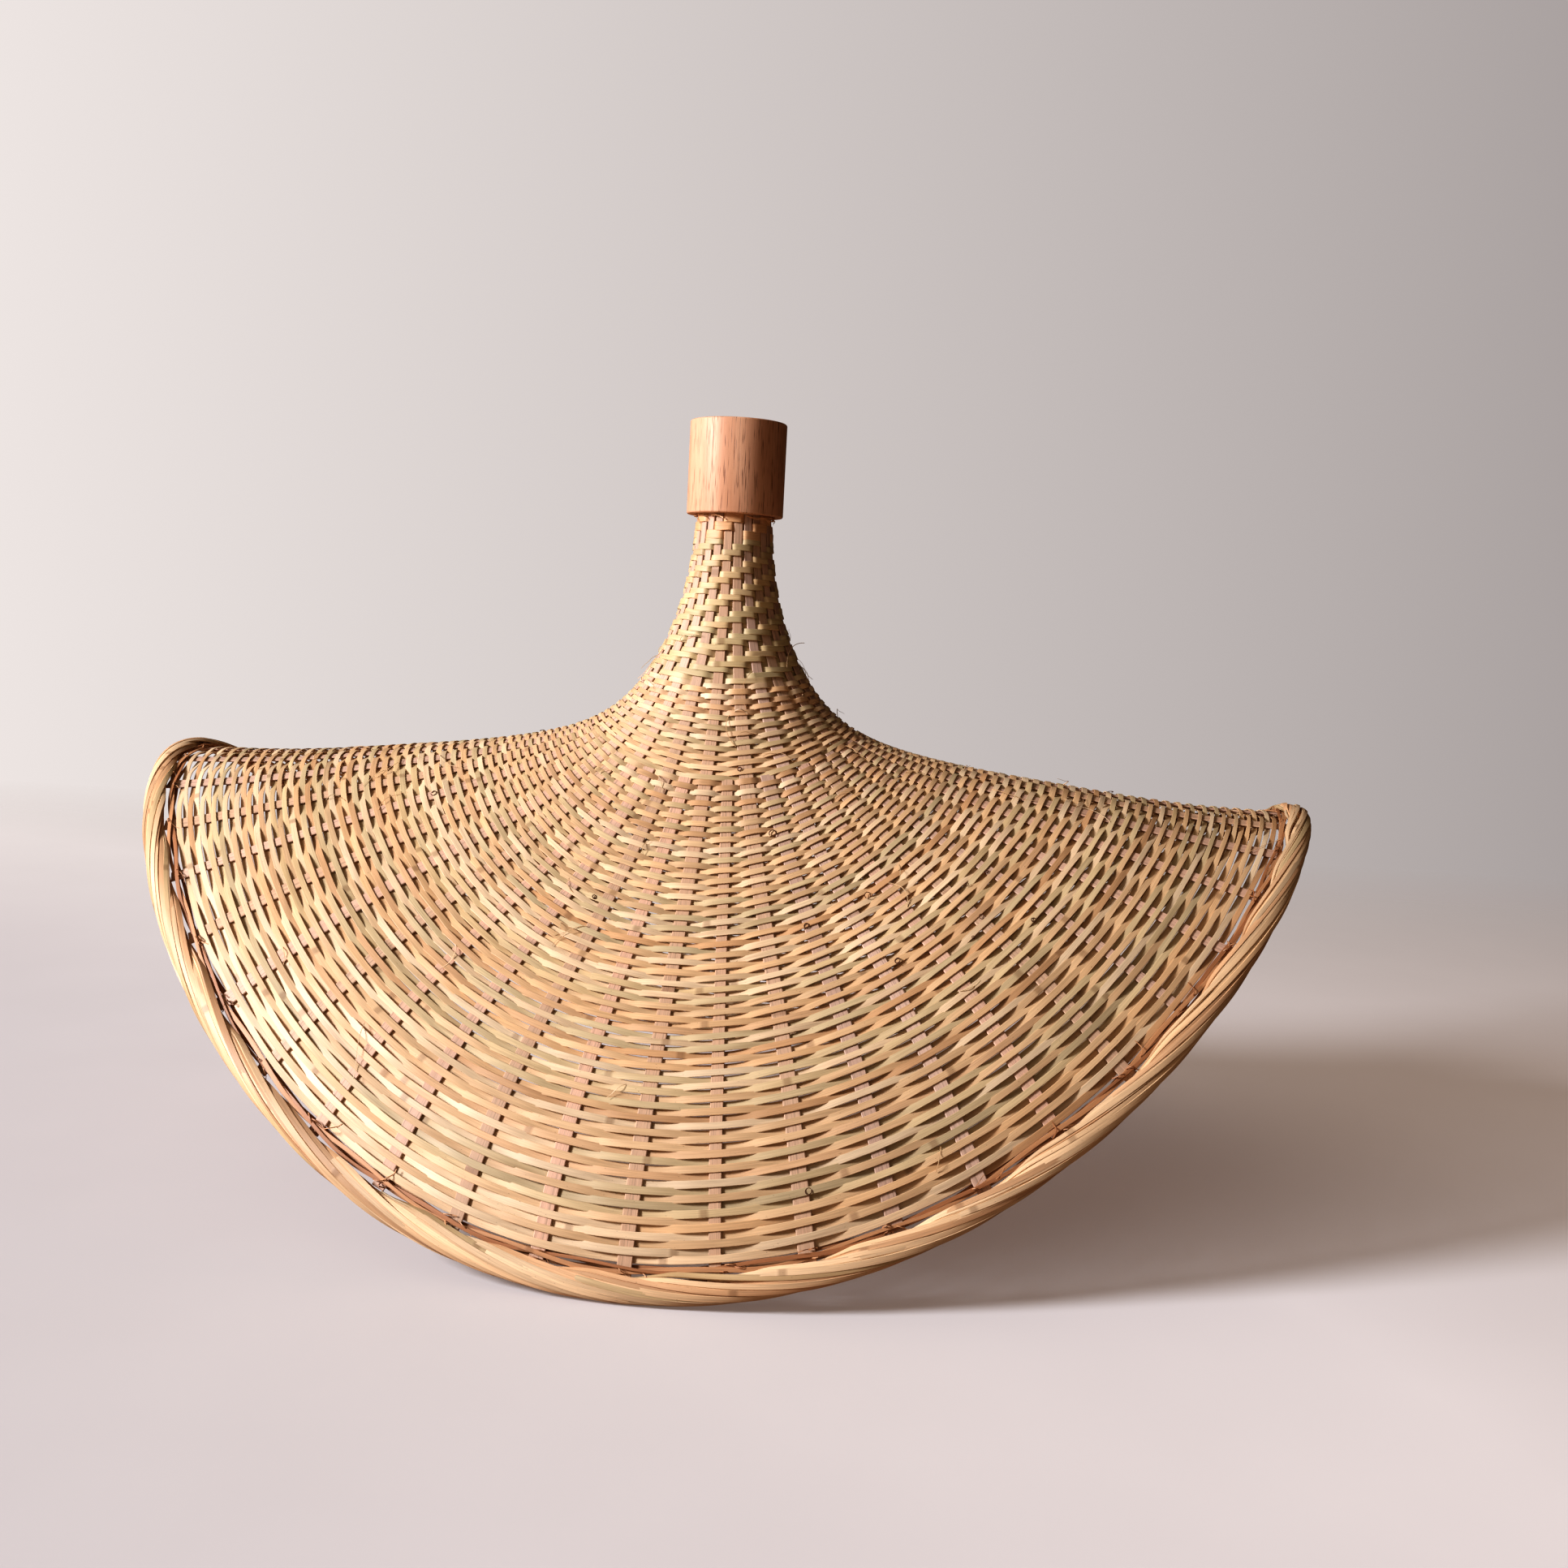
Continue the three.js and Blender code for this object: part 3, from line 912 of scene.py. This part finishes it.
def stage_material():
    """Pale cloth, evenly lit to the eye, that fades into the backdrop and reflects little light."""
    shader = Shader("stage_finish")
    place = shader.node("NewGeometry").outputs["Position"]
    seen = shader.node("LightPath").outputs["Is Camera Ray"]
    cloth = shader.noise(shader.stretched(place, CLOTH_SCALE), 2.0)
    colour = shader.mix(cloth, opaque(CLOTH_DARK), opaque(CLOTH_LIGHT))

    offset = shader.node("VectorMath", {0: place, 1: WINDOW_PLACE}, operation="SUBTRACT")
    distance = shader.node("VectorMath", {0: offset.outputs[0]}, operation="LENGTH")
    distance = shader.math("DIVIDE", distance.outputs["Value"], EVEN_DISTANCE)
    evening = shader.math("MINIMUM", shader.math("POWER", distance, EVEN_POWER), EVEN_LIMIT)
    colour = shader.mix(1.0, colour, shader.grey(evening), "MULTIPLY")
    colour = shader.mix(seen, opaque(CLOTH_BOUNCE), colour)
    # Painted light: a faint glow, seen only by the camera, that brightens the cloth's shadows.
    glow = shader.math("MULTIPLY", seen, CLOTH_GLOW_STRENGTH)
    shader.finish(colour, 0.9)
    shader.feed(shader.surface.inputs["Emission Color"], opaque(CLOTH_GLOW))
    shader.feed(shader.surface.inputs["Emission Strength"], glow)

    depth = shader.node("SeparateXYZ", {0: place}).outputs["Y"]
    fade = shader.math("MULTIPLY", seen, shader.ramp(depth, FADE_START, FADE_END))
    clear = shader.node("BsdfTransparent").outputs[0]
    blend = shader.node("MixShader", {0: fade, 1: shader.surface.outputs[0], 2: clear})
    shader.feed(shader.tree.nodes["Material Output"].inputs["Surface"], blend.outputs[0])
    return shader.material


def add_floor():
    mesh = bpy.data.meshes.new("floor")
    half = FLOOR_HALF
    corners = [(-half, -half, 0), (half, -half, 0), (half, half, 0), (-half, half, 0)]
    mesh.from_pydata(corners, [], [(0, 1, 2, 3)])
    mesh.materials.append(stage_material())
    floor = bpy.data.objects.new("floor", mesh)
    bpy.context.scene.collection.objects.link(floor)
    floor.location.z = min(0.0, cad_bounds[0].z)


def add_window():
    """One large soft lamp, at the viewer's left."""
    data = bpy.data.lights.new("window", "POINT")
    data.shadow_soft_size = WINDOW_RADIUS
    data.energy = WINDOW_POWER
    data.color = WINDOW_COLOUR
    light = bpy.data.objects.new("window", data)
    bpy.context.scene.collection.objects.link(light)
    light.location = WINDOW_PLACE


def add_world():
    """Dim soft light all round. The camera sees it as a pale backdrop that darkens to the right."""
    world = bpy.data.worlds.new("studio")
    bpy.context.scene.world = world
    shader = Nodes(world)
    direction = shader.node("TexCoord").outputs["Generated"]
    facing = shader.node("VectorMath", {0: direction, 1: SKY_DIRECTION}, operation="DOT_PRODUCT")
    strength = shader.ramp(facing.outputs["Value"], SKY_DARK, SKY_BRIGHT, 0.0, SKY_STRENGTH)
    ambient = shader.tree.nodes["Background"]
    shader.feed(ambient.inputs["Color"], opaque(SKY_COLOUR))
    shader.feed(ambient.inputs["Strength"], strength)

    window = shader.node("TexCoord").outputs["Window"]
    across = shader.node("SeparateXYZ", {0: window}).outputs["X"]
    shade = shader.mix(across, opaque(BACKDROP_LEFT), opaque(BACKDROP_RIGHT))
    backdrop = shader.node("Background", {"Color": shade})

    seen = shader.node("LightPath").outputs["Is Camera Ray"]
    inputs = {0: seen, 1: ambient.outputs[0], 2: backdrop.outputs[0]}
    choice = shader.node("MixShader", inputs)
    shader.feed(shader.tree.nodes["World Output"].inputs["Surface"], choice.outputs[0])


def add_camera():
    """At the height and side that the shade is seen from, turned slightly to its left."""
    data = bpy.data.cameras.new("camera")
    data.sensor_width = SENSOR_WIDTH
    data.lens = LENS
    camera = bpy.data.objects.new("camera", data)
    bpy.context.scene.collection.objects.link(camera)
    level = math.cos(CAMERA_PITCH)
    look = Vector((
        -math.sin(CAMERA_YAW) * level,
        math.cos(CAMERA_YAW) * level,
        -math.sin(CAMERA_PITCH),
    ))
    place = Matrix.Translation(CAMERA_PLACE)
    turned = look.to_track_quat("-Z", "Y").to_matrix().to_4x4()
    camera.matrix_world = place @ turned @ Matrix.Rotation(CAMERA_ROLL, 4, "Z")
    bpy.context.scene.camera = camera


add_floor()
add_world()
add_window()
add_camera()
bpy.context.scene.view_settings.view_transform = "Standard"
bpy.context.scene.view_settings.look = "High Contrast"
